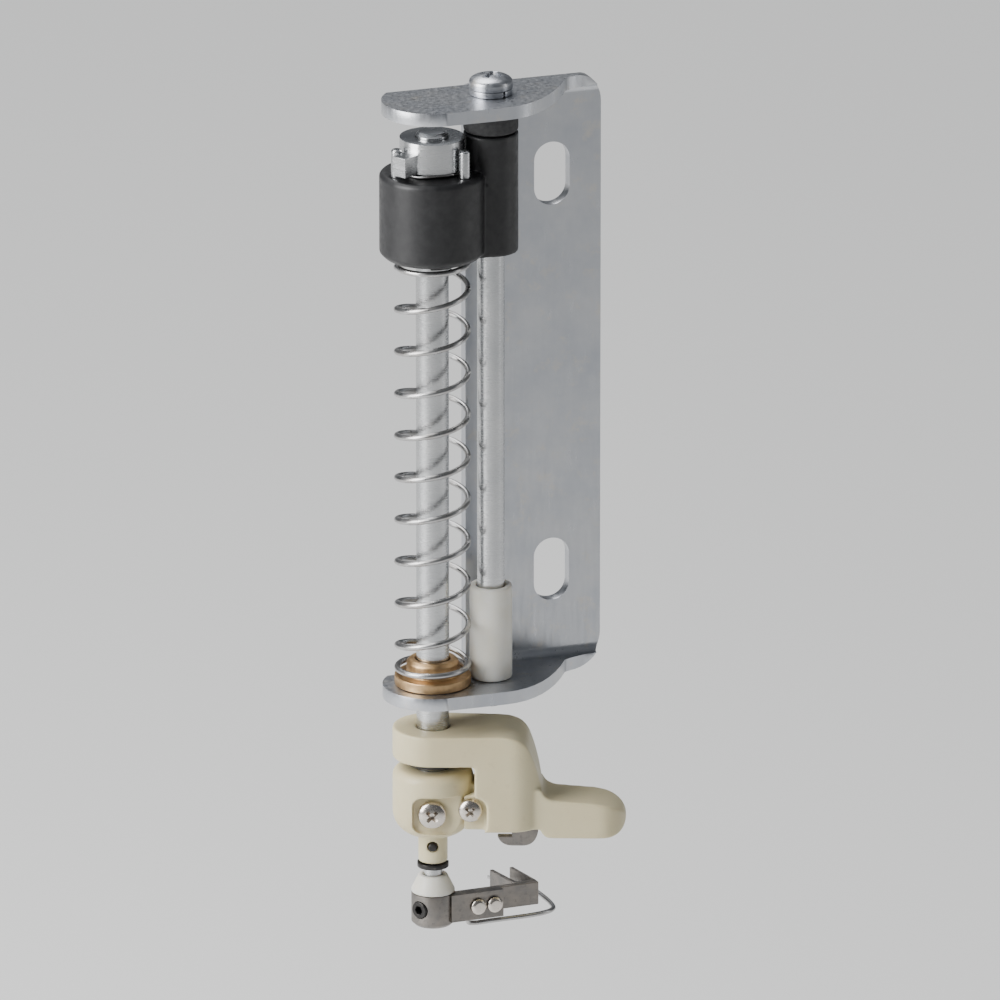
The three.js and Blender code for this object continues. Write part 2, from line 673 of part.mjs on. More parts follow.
place(threader, "mounting_bracket", bracket(), zinc);
place(onShaft, "shaft_bush", shaftBush(), bronze);
place(onRod, "guide_rod", guideRod(), steel);
place(onRod, "guide_rod_clip", clip(0.95, 2.3, ROD_CLIP_TOP - 0.5, ROD_CLIP_TOP), blackened);
place(onRod, "rod_lock_washer", lockWasher(), zinc);
place(onRod, "guide_rod_screw", panScrew(0.95, 2, 1.3, 4.4), zinc).position.z = HALF + LOCK_WASHER + 2 * SEAT;
place(onRod, "upper_damper", ring(ROD_R + FIT, 2.5, UPPER_EAR_UNDER - 2.2, UPPER_EAR_UNDER - SEAT), rubber);
const stopTop = CARRIAGE_UNDER - TRAVEL - SEAT;
place(onRod, "lower_stop_sleeve", ring(ROD_R + FIT, 1.95, LOWER_EAR_TOP + SEAT, stopTop), nylon);
place(onShaft, "return_spring", returnSpring(), springSteel);

place(onShaft, "carriage_block", carriageBlock(), blackAcetal);
place(onShaft, "stop_pin_rest", stopPin(STOP_ANGLES[0]), steel);
place(onShaft, "stop_pin_turned", stopPin(STOP_ANGLES[1]), steel);

place(leverFrame, "threader_shaft", threaderShaft(), steel);
const washer = ring(SHAFT_R + FIT, 2.85, CARRIAGE_TOP + SEAT, COLLAR_UNDER - SEAT);
place(onShaft, "friction_washer", washer, springSteel);
place(collarFrame, "stop_collar", stopCollar(), steel);
place(collarFrame, "collar_screw", grubScrew(0.8, -2.9, -SHAFT_R - SEAT, COLLAR_SCREW_Z), blackened);
const carriageClip = clip(SHAFT_R - 0.3, 2.6, CARRIAGE_CLIP_TOP - 0.45, CARRIAGE_CLIP_TOP);
place(collarFrame, "carriage_clip", carriageClip, blackened);

place(leverFrame, "finger_lever", fingerLever(), creamPlastic);
place(leverFrame, "shaft_hub", shaftHub(), creamPlastic);
const hubScrew = place(leverFrame, "hub_set_screw", panScrew(0.9, 1.3, 0.9, 1.25), steel);
hubScrew.rotation.x = Math.PI / 2;
hubScrew.position.set(0, RECESS_FLOOR - SEAT, SET_SCREW_Z);
const leverScrew = place(leverFrame, "lever_screw", panScrew(0.8, 1.1, 0.9, 3.6), steel);
leverScrew.rotation.x = Math.PI / 2;
leverScrew.position.set(LEVER_SCREW_AT[0], RECESS_FLOOR - SEAT, LEVER_SCREW_AT[1]);
const leverClip = clip(SHAFT_R - 0.3, 2.6, LEVER_CLIP_TOP - 0.45, LEVER_CLIP_TOP);
place(leverFrame, "lever_clip", turnedAbout(leverClip, 110), blackened);
place(leverFrame, "hub_pin", crossPin(0.4, -1.5, 1.5, [0, PIN_Z]), blackened);
place(leverFrame, "thread_guide", threadGuide(), temperedSteel);

const endClip = clip(SHAFT_END_R - 0.25, 1.45, END_CLIP_TOP - 0.45, END_CLIP_TOP);
place(hookFrame, "shaft_end_clip", endClip, blackened);
place(hookFrame, "spacer_cone", spacerCone(), nylon);
place(hookFrame, "hook_holder", hookHolder(), temperedSteel);
const holderScrew = grubScrew(0.8, -2.1, -SHAFT_END_R - SEAT, HOOK_Z);
place(hookFrame, "holder_screw", turnedAbout(holderScrew, -60), blackened);
place(hookFrame, "hook_arm", hookArm(), temperedSteel);
place(hookFrame, "hook_rivet_inner", rivet(RIVETS_X[0]), steel);
place(hookFrame, "hook_rivet_outer", rivet(RIVETS_X[1]), steel);
place(hookFrame, "needle_fork", needleFork(), temperedSteel);
place(hookFrame, "threading_hook", threadingHook(), springSteel);
place(hookFrame, "thread_wire", threadWire(), springSteel);

export default threader;
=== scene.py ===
"""Needle threader of a straight-stitch sewing machine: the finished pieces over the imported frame.

Shapes are drawn in millimetres and put in the frame in metres. +X is the machine's right, -Y is towards the
operator and +Z is up.
"""

import json
import math

import bmesh
import bpy
from mathutils import Matrix, Vector


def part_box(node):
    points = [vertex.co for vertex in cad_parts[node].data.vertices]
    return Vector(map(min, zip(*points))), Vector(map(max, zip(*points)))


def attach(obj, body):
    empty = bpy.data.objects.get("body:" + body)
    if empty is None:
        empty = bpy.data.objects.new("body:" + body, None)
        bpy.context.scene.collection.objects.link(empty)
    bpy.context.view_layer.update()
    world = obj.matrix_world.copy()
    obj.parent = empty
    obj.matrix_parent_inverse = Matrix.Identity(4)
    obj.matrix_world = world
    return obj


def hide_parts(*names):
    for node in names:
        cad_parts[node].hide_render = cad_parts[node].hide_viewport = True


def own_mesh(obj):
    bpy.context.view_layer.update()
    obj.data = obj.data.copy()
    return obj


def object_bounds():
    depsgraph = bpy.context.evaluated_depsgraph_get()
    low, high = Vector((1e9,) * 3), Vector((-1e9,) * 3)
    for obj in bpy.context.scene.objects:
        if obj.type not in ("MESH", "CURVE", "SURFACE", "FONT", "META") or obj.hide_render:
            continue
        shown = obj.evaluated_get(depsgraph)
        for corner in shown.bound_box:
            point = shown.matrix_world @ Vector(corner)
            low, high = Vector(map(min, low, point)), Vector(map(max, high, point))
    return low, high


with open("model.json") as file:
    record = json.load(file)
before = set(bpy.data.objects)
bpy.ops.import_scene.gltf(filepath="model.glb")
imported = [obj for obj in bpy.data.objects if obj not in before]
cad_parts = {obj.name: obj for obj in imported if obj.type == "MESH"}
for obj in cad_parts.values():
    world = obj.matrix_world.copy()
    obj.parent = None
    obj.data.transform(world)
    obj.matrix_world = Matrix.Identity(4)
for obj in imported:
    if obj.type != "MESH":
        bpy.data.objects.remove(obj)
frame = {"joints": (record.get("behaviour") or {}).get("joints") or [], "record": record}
cad_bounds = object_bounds()

MM = 0.001
FULL_ROUND = 96  # sides of a turned piece
SMALL_ROUND = 48  # sides of a screw, pin or wire
VOXEL = 0.1  # cell of the moulded pieces' remesh

# ---- Places, from the frame ----


def box(node):
    low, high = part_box(node)
    return Vector(low) / MM, Vector(high) / MM


def bottom(node):
    return box(node)[0].z


def top(node):
    return box(node)[1].z


def centre_of(node):
    low, high = box(node)
    return ((low + high) / 2).xy


def joint(name):
    return next(j for j in frame["joints"] if j["name"] == name)


SHAFT = Vector(joint("lever_swing")["pos_m"]).xy / MM
ROD = centre_of("guide_rod")
LEVER_TURN = -20  # degrees from +X at rest
HOOK_TURN = 2.6
COLLAR_TURN = -150
LEVER_TOP = top("finger_lever")
HUB_TOP = top("shaft_hub")
HUB_UNDER = LEVER_TOP - 10.4  # where the hub's bulb meets its neck
CHEEK_UNDER = LEVER_TOP - 9.25  # underside of the lever's body
TAB_UNDER = bottom("finger_lever")
CONE_TOP = top("spacer_cone")
HOLDER_TOP = top("hook_holder")
HOLDER_UNDER = bottom("hook_holder")
HOOK_Z = (top("hook_arm") + bottom("hook_arm")) / 2
CARRIAGE_UNDER = bottom("carriage_block")
BRACKET_LOW, BRACKET_HIGH = box("mounting_bracket")

SHAFT_R = 1.5
SHAFT_END_R = 0.85
ROD_R = 1.25
HUB_R = 3.7
NECK_R = 1.35
SEAT = 0.05  # gap between pieces that are fitted together
HOLE_GAP = 0.1  # gap between a bar and a hole that it passes through
GROOVE = 0.3  # depth of the clip grooves in the shaft
END_GROOVE = 0.25  # depth of the one in its thin end
ROD_GROOVE_R = 0.95  # floor of the guide rod's groove

# ---- Meshes, in millimetres ----


def object_of(shape, name="draft"):
    bmesh.ops.recalc_face_normals(shape, faces=shape.faces)
    mesh = bpy.data.meshes.new(name)
    shape.to_mesh(mesh)
    shape.free()
    piece = bpy.data.objects.new(name, mesh)
    bpy.context.scene.collection.objects.link(piece)
    return piece


def bake(piece):
    """Applies the piece's modifiers."""
    graph = bpy.context.evaluated_depsgraph_get()
    mesh = bpy.data.meshes.new_from_object(piece.evaluated_get(graph))
    piece.modifiers.clear()
    piece.data = mesh
    return piece


def combine(piece, others, operation):
    for other in others:
        boolean = piece.modifiers.new("combine", "BOOLEAN")
        boolean.operation = operation
        boolean.solver = "EXACT"
        boolean.object = other
        bake(piece)
        bpy.data.objects.remove(other)
    return piece


def joined(piece, *others):
    return combine(piece, others, "UNION")


def cut(piece, *others):
    return combine(piece, others, "DIFFERENCE")


def common(piece, *others):
    return combine(piece, others, "INTERSECT")


def moved(piece, by=(0, 0, 0), turn=0, about="Z"):
    """Turns the mesh about an axis through the origin, then shifts it."""
    turning = Matrix.Rotation(math.radians(turn), 4, about)
    piece.data.transform(Matrix.Translation(by) @ turning)
    return piece


def bevelled(piece, width, segments=3, angle=32):
    bevel = piece.modifiers.new("bevel", "BEVEL")
    bevel.width = width
    bevel.segments = segments
    bevel.limit_method = "ANGLE"
    bevel.angle_limit = math.radians(angle)
    return bake(piece)


def moulded(piece, voxel=VOXEL, passes=14):
    """One skin over the whole piece, with its edges rounded as a moulding's are."""
    remesh = piece.modifiers.new("remesh", "REMESH")
    remesh.mode = "VOXEL"
    remesh.voxel_size = voxel
    smooth = piece.modifiers.new("smooth", "SMOOTH")
    smooth.factor = 0.5
    smooth.iterations = passes
    return bake(piece)


def arc(centre, radius, start, end, steps=12):
    """Points of an arc, in degrees."""
    angles = [math.radians(start + (end - start) * i / steps) for i in range(steps + 1)]
    return [(centre[0] + radius * math.cos(a), centre[1] + radius * math.sin(a)) for a in angles]


def curve(start, control, end, steps=8):
    """Points of a quadratic curve."""
    ways = [i / steps for i in range(steps + 1)]
    return [
        tuple((1 - t) ** 2 * a + 2 * t * (1 - t) * b + t * t * c for a, b, c in zip(start, control, end))
        for t in ways
    ]


def prism(outline, low, high):
    """Outline in X and Y between two levels."""
    shape = bmesh.new()
    floor = shape.faces.new([shape.verts.new((x, y, low)) for x, y in outline])
    sides = bmesh.ops.extrude_face_region(shape, geom=[floor])["geom"]
    raised = [v for v in sides if isinstance(v, bmesh.types.BMVert)]
    bmesh.ops.translate(shape, verts=raised, vec=(0, 0, high - low))
    return object_of(shape)


def prism_along_y(outline, front, back):
    """Outline in X and Z between two depths."""
    return moved(moved(prism(outline, -back, -front), turn=90, about="X"))


def block(x, y, z):
    outline = [(x[0], y[0]), (x[1], y[0]), (x[1], y[1]), (x[0], y[1])]
    return prism(outline, z[0], z[1])


def softened(profile, radius, closed):
    """The profile with its corners rounded."""
    points = [Vector(p) for p in profile]
    out = []
    for i, here in enumerate(points):
        if not closed and i in (0, len(points) - 1):
            out.append(here)
            continue
        before = points[i - 1] - here
        after = points[(i + 1) % len(points)] - here
        bend = math.pi - before.angle(after)
        if bend < math.radians(14):
            out.append(here)
            continue
        reach = min(radius, 0.45 * before.length, 0.45 * after.length)
        start = here + before.normalized() * reach
        end = here + after.normalized() * reach
        out.extend(Vector(p) for p in curve(start, here, end, 4))
    return out


def lathe(profile, edge=0.1, sides=FULL_ROUND):
    """Body turned about Z. Its profile of radius and level goes up the outside.

    It runs from the axis back to the axis, or all round a ring's section.
    """
    closed = profile[0][0] > 0
    points = softened(profile, edge, closed)
    shape = bmesh.new()
    angles = [2 * math.pi * i / sides for i in range(sides)]
    rings = [
        [shape.verts.new((r * math.cos(a), r * math.sin(a), z)) for a in angles]
        if r > 1e-6
        else [shape.verts.new((0, 0, z))]
        for r, z in points
    ]
    pairs = list(zip(rings, rings[1:]))
    if closed:
        pairs.append((rings[-1], rings[0]))
    for low, high in pairs:
        for i in range(sides):
            j = (i + 1) % sides
            corners = [low[i % len(low)], low[j % len(low)], high[j % len(high)], high[i % len(high)]]
            shape.faces.new(list(dict.fromkeys(corners)))
    return object_of(shape)


def ring_profile(inner, outer, low, high):
    return [(inner, low), (outer, low), (outer, high), (inner, high)]


def post(radius, low, high, centre=(0, 0), sides=SMALL_ROUND):
    body = lathe([(0, low), (radius, low), (radius, high), (0, high)], 0.0, sides)
    return moved(body, (centre[0], centre[1], 0))


def cross_post(radius, front, back, centre, sides=SMALL_ROUND):
    """Cylinder along Y."""
    body = moved(post(radius, -back, -front, sides=sides), turn=90, about="X")
    return moved(body, (centre[0], 0, centre[1]))


def tube(points, radius, sides=12, round_ends=True):
    """Round wire through points, its section carried along without twisting."""
    shape = bmesh.new()
    path = [Vector(p) for p in points]
    ways = [(b - a).normalized() for a, b in zip(path, path[1:])]
    tangents = [ways[0]] + [(a + b).normalized() for a, b in zip(ways, ways[1:])] + [ways[-1]]
    side = tangents[0].orthogonal().normalized()
    stations = []
    if round_ends:
        start, way = path[0], tangents[0] * radius
        stations += [(start - way * math.sin(s), tangents[0], math.cos(s)) for s in (1.2, 0.8, 0.4)]
    stations += [(p, t, 1.0) for p, t in zip(path, tangents)]
    if round_ends:
        end, way = path[-1], tangents[-1] * radius
        stations += [(end + way * math.sin(s), tangents[-1], math.cos(s)) for s in (0.4, 0.8, 1.2)]
    rings = []
    for place, tangent, share in stations:
        side = (side - tangent * side.dot(tangent)).normalized()
        up = tangent.cross(side)
        angles = [2 * math.pi * i / sides for i in range(sides)]
        round_about = [side * math.cos(a) + up * math.sin(a) for a in angles]
        rings.append([shape.verts.new(place + way * radius * share) for way in round_about])
    for low, high in zip(rings, rings[1:]):
        for i in range(sides):
            j = (i + 1) % sides
            shape.faces.new((low[i], low[j], high[j], high[i]))
    shape.faces.new(rings[0])
    shape.faces.new(rings[-1])
    return object_of(shape)


def smooth_line(points, steps=8):
    """A curve through points, by the Catmull-Rom rule."""
    path = [Vector(p) for p in points]
    path = [path[0] * 2 - path[1]] + path + [path[-1] * 2 - path[-2]]
    out = []
    for a, b, c, d in zip(path, path[1:], path[2:], path[3:]):
        for i in range(steps):
            t = i / steps
            out.append(
                0.5
                * (2 * b + (c - a) * t + (2 * a - 5 * b + 4 * c - d) * t**2 + (3 * b - a - 3 * c + d) * t**3)
            )
    out.append(path[-2])
    return out


# ---- Fasteners ----


def pan_screw(shank, head, height, length):
    """Pan head screw, head up, its bearing face at level 0, with a cross recess."""
    angles = [i * math.pi / 14 for i in range(7)]
    crown = [(head * math.cos(a), height * (0.42 + 0.58 * math.sin(a))) for a in angles]
    profile = [(0, -length), (shank, -length), (shank, 0), (head, 0), *crown, (0, height)]
    body = lathe(profile, 0.06, SMALL_ROUND)
    arm = head * 0.62
    half = head * 0.14
    outline = [(-arm, height + 0.1), (arm, height + 0.1), (half, height * 0.3), (-half, height * 0.3)]
    wings = [moved(prism_along_y(outline, -half, half), turn=turn) for turn in (45, 135)]
    return bevelled(cut(body, *wings), 0.03, 2, 40)


def grub_screw(radius, length):
    """Set screw along Z with a hexagon socket in its upper end, at level 0."""
    body = lathe([(0, -length), (radius, -length), (radius, 0), (0, 0)], 0.1, SMALL_ROUND)
    socket = post(radius * 0.55, -length * 0.6, 0.2, sides=6)
    return bevelled(cut(body, socket), 0.02, 2, 40)


def e_clip(groove, outer, low, high):
    """Retaining clip with three lugs in the groove and its mouth towards +X."""
    lugs = (95, 180, 265)

    def inner(angle):
        near = min(abs(angle - lug) for lug in lugs)
        rise = min(1, max(0, (near - 14) / 12))
        return groove + 0.04 + (outer - groove) * 0.42 * rise * rise * (3 - 2 * rise)

    outside = arc((0, 0), outer, 38, 322, 60)
    turns = range(322, 37, -4)
    inside = [
        (inner(a) * math.cos(math.radians(a)), inner(a) * math.sin(math.radians(a)))
        for a in turns
    ]
    return bevelled(prism(outside + inside, low, high), 0.05, 2)


# ---- Bracket and what is fixed to it ----

SHEET = 1.2
BEND = 0.8
SLOT_X = 1.8
SLOT_LEVELS = (-19, 19)


def bracket_side():
    """The folded sheet seen from its right, as Y and Z."""
    outer = SHEET + BEND
    reach = BRACKET_LOW.y - 1
    low, high = BRACKET_LOW.z, BRACKET_HIGH.z
    return [
        (reach, low),
        *arc((-outer, low + outer), outer, -90, 0),
        *arc((-outer, high - outer), outer, 0, 90),
        (reach, high),
        (reach, high - SHEET),
        *arc((-outer, high - outer), BEND, 90, 0),
        *arc((-outer, low + outer), BEND, 0, -90),
        (reach, low + SHEET),
    ]


def bracket_top():
    """The plate's width and the ears' nose round the shaft, as X and Y."""
    side = BRACKET_HIGH.x
    bend_end = -SHEET - BEND
    nose = SHAFT.x - BRACKET_LOW.x
    start = 180 - math.degrees(math.asin((bend_end - SHAFT.y) / nose))
    front = SHAFT.y - nose
    return [
        (side, 1),
        (-side, 1),
        (-side, bend_end),
        *arc(SHAFT, nose, start, 270, 40),
        *curve((ROD.x, front), (ROD.x + 4, front), (side - 4, bend_end - 1)),
        *curve((side - 4, bend_end - 1), (side - 2, bend_end), (side, bend_end))[1:],
    ]


def bracket_front():
    """Rounds the plate's two free corners, as X and Z."""
    corner = 3
    side = BRACKET_HIGH.x
    left = BRACKET_LOW.x - 1
    low, high = BRACKET_LOW.z, BRACKET_HIGH.z
    return [
        (left, low - 1),
        (side - corner, low - 1),
        *arc((side - corner, low + corner), corner, -90, 0),
        *arc((side - corner, high - corner), corner, 0, 90),
        (side - corner, high + 1),
        (left, high + 1),
    ]


def slot_cutter(level):
    width = 1.7
    half_run = 1.3
    outline = [
        *arc((SLOT_X, level + half_run), width, 0, 180, 20),
        *arc((SLOT_X, level - half_run), width, 180, 360, 20),
    ]
    return prism_along_y(outline, -3, 2)


def bracket():
    low, high = BRACKET_LOW.z, BRACKET_HIGH.z
    folded = prism(bracket_side(), BRACKET_LOW.x - 2, BRACKET_HIGH.x + 2)
    folded.data.transform(Matrix(((0, 0, 1, 0), (1, 0, 0, 0), (0, 1, 0, 0), (0, 0, 0, 1))))
    folded = common(folded, prism(bracket_top(), low - 1, high + 1))
    folded = common(folded, prism_along_y(bracket_front(), -20, 5))
    bush_hole = 2.5
    screw_hole = 1.1
    cutters = [slot_cutter(level) for level in SLOT_LEVELS]
    cutters.append(post(bush_hole, low - 1, low + 2, SHAFT))
    cutters.append(post(ROD_R + HOLE_GAP, low - 1, low + 2, ROD))
    cutters.append(post(screw_hole, high - 2, high + 1, ROD))
    return bevelled(cut(folded, *cutters), 0.1, 2, 40)


def shaft_bush():
    bore = SHAFT_R + HOLE_GAP
    barrel = 2.4
    flange = 3.5
    low, high = bottom("shaft_bush"), top("shaft_bush")
    under = BRACKET_LOW.z + SHEET + SEAT
    over = under + 0.9
    return lathe(
        [
            (bore, low),
            (barrel - 0.3, low),
            (barrel, low + 0.3),
            (barrel, under),
            (flange, under),
            (flange, over),
            (barrel, over),
            (barrel, high - 0.3),
            (barrel - 0.3, high),
            (bore, high),
        ],
        0.12,
    )


def grooved_bar(radius, low, high, grooves, chamfer=0.3):
    """Round bar with clip grooves, each as floor radius and two levels."""
    profile = [(0, low), (radius - chamfer, low), (radius, low + chamfer)]
    for floor, under, over in grooves:
        profile += [(radius, under), (floor, under), (floor, over), (radius, over)]
    profile += [(radius, high - chamfer), (radius - chamfer, high), (0, high)]
    return lathe(profile, 0.05)


def groove_levels(clip):
    """The two levels of a clip's groove."""
    return bottom(clip) - SEAT, top(clip) + SEAT


def guide_rod():
    groove = (ROD_GROOVE_R, *groove_levels("guide_rod_clip"))
    return grooved_bar(ROD_R, bottom("guide_rod"), top("guide_rod"), [groove])


def return_spring():
    """Round wire coil with a closed turn at each end."""
    wire = 0.27
    mean = (box("return_spring")[1].x - box("return_spring")[0].x) / 2 - wire
    low, high = bottom("return_spring") + wire, top("return_spring") - wire
    active = 9.5
    closed_pitch = 2 * wire + 0.04
    pitch = (high - low - 2 * closed_pitch) / active
    steps = 44
    points = []
    for i in range(int((active + 2) * steps) + 1):
        turn = i / steps
        open_turn = min(max(turn - 1, 0), active)
        level = low + open_turn * pitch + (turn - open_turn) * closed_pitch
        angle = 2 * math.pi * turn
        points.append((mean * math.cos(angle), mean * math.sin(angle), level))
    return tube(points, wire, 14, round_ends=False)


def lock_washer():
    """Split washer, cut through at one place."""
    low, high = bottom("rod_lock_washer"), top("rod_lock_washer")
    body = lathe(ring_profile(1.15, 1.95, low, high), 0.0)
    split = moved(block((0, 3), (-0.12, 0.12), (low - 1, high + 1)), turn=-70)
    return bevelled(cut(body, split), 0.07, 2, 40)


# ---- Carriage ----

STOP_PINS = ("stop_pin_rest", "stop_pin_turned")


def carriage_block():
    boss_top = bottom("friction_washer") - SEAT
    rod = ROD - SHAFT
    block_top = top("carriage_block")
    boss = lathe(
        [
            (0, CARRIAGE_UNDER),
            (4.3, CARRIAGE_UNDER),
            (4.8, CARRIAGE_UNDER + 0.5),
            (4.8, boss_top - 0.3),
            (4.5, boss_top),
            (0, boss_top),
        ]
    )
    rod_boss = post(2.5, CARRIAGE_UNDER, block_top, rod, FULL_ROUND)
    waist = block((0, rod.x), (-2.3, 2.3), (CARRIAGE_UNDER, boss_top - 1.2))
    body = cut(
        joined(boss, rod_boss, waist),
        post(SHAFT_R + HOLE_GAP, CARRIAGE_UNDER - 1, boss_top + 1),
        post(ROD_R + HOLE_GAP, CARRIAGE_UNDER - 1, block_top + 1, rod),
        *[post(0.55, bottom(pin) - SEAT, boss_top + 1, centre_of(pin) - SHAFT) for pin in STOP_PINS],
    )
    return moulded(body, passes=6)


def stop_pin(node):
    """Dowel with chamfered ends."""
    low, high = bottom(node), top(node)
    radius = 0.5
    chamfer = 0.15
    profile = [(0, low), (radius - chamfer, low), (radius, low + chamfer), (radius, high - chamfer)]
    return lathe([*profile, (radius - chamfer, high), (0, high)], 0.05, SMALL_ROUND)


# ---- Shaft and lever ----

SET_SCREW_Z = HUB_UNDER + 2.7
PIN_Z = HUB_UNDER - 1
LEVER_SCREW_AT = (3.5, LEVER_TOP - 7.2)
RECESS_FLOOR = -2.6  # Y of the shallow recess that both screws sit in
RECESS_TOP = LEVER_TOP - 5.9
LUG_X = (2.5, 6.3)
GUIDE_Y = (-1.9, -1.1)


def threader_shaft():
    low, high = bottom("threader_shaft"), top("threader_shaft")
    step = HUB_UNDER + 1.4
    chamfer = 0.3
    clip_low, clip_high = groove_levels("carriage_clip")
    end_low, end_high = groove_levels("shaft_end_clip")
    lever_low, lever_high = groove_levels("lever_clip")
    return lathe(
        [
            (0, low),
            (SHAFT_END_R - chamfer, low),
            (SHAFT_END_R, low + chamfer),
            (SHAFT_END_R, end_low),
            (SHAFT_END_R - END_GROOVE, end_low),
            (SHAFT_END_R - END_GROOVE, end_high),
            (SHAFT_END_R, end_high),
            (SHAFT_END_R, step),
            (SHAFT_R, step),
            (SHAFT_R, lever_low),
            (SHAFT_R - GROOVE, lever_low),
            (SHAFT_R - GROOVE, lever_high),
            (SHAFT_R, lever_high),
            (SHAFT_R, clip_low),
            (SHAFT_R - GROOVE, clip_low),
            (SHAFT_R - GROOVE, clip_high),
            (SHAFT_R, clip_high),
            (SHAFT_R, high - chamfer),
            (SHAFT_R - chamfer, high),
            (0, high),
        ],
        0.05,
    )


def friction_washer():
    """Wave washer: a thin ring with three waves."""
    low, high = bottom("friction_washer"), top("friction_washer")
    sheet = 0.2
    washer = lathe(ring_profile(SHAFT_R + HOLE_GAP, 2.85, low, low + sheet), 0.05)
    lift = high - low - sheet
    for vertex in washer.data.vertices:
        angle = math.atan2(vertex.co.y, vertex.co.x)
        vertex.co.z += lift * (0.5 + 0.5 * math.sin(3 * angle))
    return washer


def stop_collar():
    low, high = bottom("stop_collar"), top("stop_collar")
    outer = 2.95
    body = lathe(ring_profile(SHAFT_R + SEAT, outer, low, high), 0.0)
    lug = block((outer - 0.7, 4.5), (-0.75, 0.75), (low, high - 1))
    body = cut(joined(body, lug), cross_post(0.9, -4, -1, (0, (low + high) / 2)))
    return bevelled(body, 0.12, 3, 40)


def lever_side():
    """The lever's outline from the front, as X and Z: upper arm, bulging back, tab and cheek."""

    def z(depth):
        return LEVER_TOP - depth

    return [
        (-4, z(0)),
        *curve((6, z(0)), (8.2, z(0)), (8.8, z(1.3))),
        *curve((8.8, z(1.3)), (9.6, z(3.1)), (9.9, z(5.1)))[1:],
        *curve((9.9, z(5.1)), (10.1, z(6.4)), (11.6, z(6.45)))[1:],
        *curve((14.8, z(6.7)), (17.7, z(7.1)), (17.7, z(8.5))),
        *curve((17.7, z(8.5)), (17.7, TAB_UNDER), (15.6, TAB_UNDER))[1:],
        *curve((11, TAB_UNDER), (10.1, TAB_UNDER), (9.9, CHEEK_UNDER)),
        (2.3, CHEEK_UNDER),
        (2.3, RECESS_TOP),
        (3.9, RECESS_TOP),
        (3.9, z(2.9)),
        (-4, z(2.9)),
    ]


CHEEK_HALF = 3.4
TAB_HALF = 2.5
TAB_END = 17.75


def lever_body_plan():
    """Round the shaft, with cheeks that narrow towards a rounded far end, as X and Y."""
    end_r = 2.9
    corner_x, corner_y = 10.1 - end_r, CHEEK_HALF - end_r
    meets = math.atan2(corner_y, corner_x) + math.acos((HUB_R - end_r) / math.hypot(corner_x, corner_y))
    meets = math.degrees(meets)
    return [
        *arc((0, 0), HUB_R, meets, 360 - meets, 48),
        *arc((corner_x, -corner_y), end_r, -meets, 0, 20),
        *arc((corner_x, corner_y), end_r, 0, meets, 20),
    ]


def lever_tab_plan():
    return [(4, -TAB_HALF), *arc((TAB_END - TAB_HALF, 0), TAB_HALF, -90, 90, 24), (4, TAB_HALF)]


def screw_recess():
    """Shallow recess across the hub and the lever's cheek, with round corners."""
    corner = 1.1
    left, right = -1.8, 5
    low = LEVER_TOP - 9.6
    outline = [
        *arc((left + corner, RECESS_TOP - corner), corner, 90, 180),
        *arc((left + corner, low + corner), corner, 180, 270),
        *arc((right - corner, low + corner), corner, -90, 0),
        *arc((right - corner, RECESS_TOP - corner), corner, 0, 90),
    ]
    return prism_along_y(outline, -5, RECESS_FLOOR)


def finger_lever():
    under = TAB_UNDER - 1
    over = LEVER_TOP + 1
    tab_over = LEVER_TOP - 5.4
    plan = joined(prism(lever_body_plan(), under, over), prism(lever_tab_plan(), under, tab_over))
    body = common(prism_along_y(lever_side(), -5, 5), plan)
    body = cut(
        body,
        post(HUB_R + 0.15, under, LEVER_TOP - 3.4, sides=FULL_ROUND),
        post(SHAFT_R + SEAT, under, over),
        block((2, LUG_X[1] + 0.1), (-1.55, 1.55), (LEVER_TOP - 8.85, LEVER_TOP - 5.1)),
        screw_recess(),
    )
    return moulded(body, passes=26)


def shaft_hub():
    bore = SHAFT_R + SEAT
    low = bottom("shaft_hub")
    bulb = [
        (NECK_R + (HUB_R - NECK_R) * math.cos(a), HUB_UNDER + 2.3 + 2.3 * math.sin(a))
        for a in [math.radians(-90 + 10 * i) for i in range(10)]
    ]
    shoulder = arc((HUB_R - 0.8, HUB_TOP - 0.8), 0.8, 0, 90, 8)
    end_bore = SHAFT_END_R + HOLE_GAP
    step = HUB_UNDER + 1.35
    profile = [(end_bore, low), (NECK_R, low), *bulb, *shoulder]
    profile += [(bore, HUB_TOP), (bore, step), (end_bore, step)]
    body = lathe(profile)
    lug = block(LUG_X, (-1.45, 1.45), (LEVER_TOP - 8.75, LEVER_TOP - 5.2))
    body = cut(
        joined(body, lug),
        screw_recess(),
        cross_post(0.5, -3, 3, (0, PIN_Z)),
    )
    return moulded(body, passes=8)


def cross_screw(screw, at, seat):
    """Lays an upright screw along Y, its head towards the operator and its seat at that Y."""
    return moved(moved(screw, turn=90, about="X"), (at[0], seat, at[1]))


def hub_pin():
    pin = lathe([(0, -1.5), (0.4, -1.5), (0.4, 1.5), (0, 1.5)], 0.15, SMALL_ROUND)
    return moved(moved(pin, turn=90, about="X"), (0, 0, PIN_Z))


def thread_guide():
    """Sheet tongue under the lever with an open slit for the thread."""
    left, right = 5.8, 9.7
    low, high = bottom("thread_guide"), CHEEK_UNDER - SEAT
    slit_low = LEVER_TOP - 10.05
    outline = [
        *curve((left, high), (left + 0.1, low), (left + 1.5, low), 12),
        *curve((right - 1.5, low), (right - 0.1, low), (right, high), 12),
    ]
    plate = prism_along_y(outline, GUIDE_Y[0], GUIDE_Y[1])
    slit = block((left - 1, left + 1.5), (GUIDE_Y[0] - 1, GUIDE_Y[1] + 1), (slit_low, slit_low + 0.35))
    return bevelled(cut(plate, slit), 0.12, 3, 40)


# ---- Hook head ----

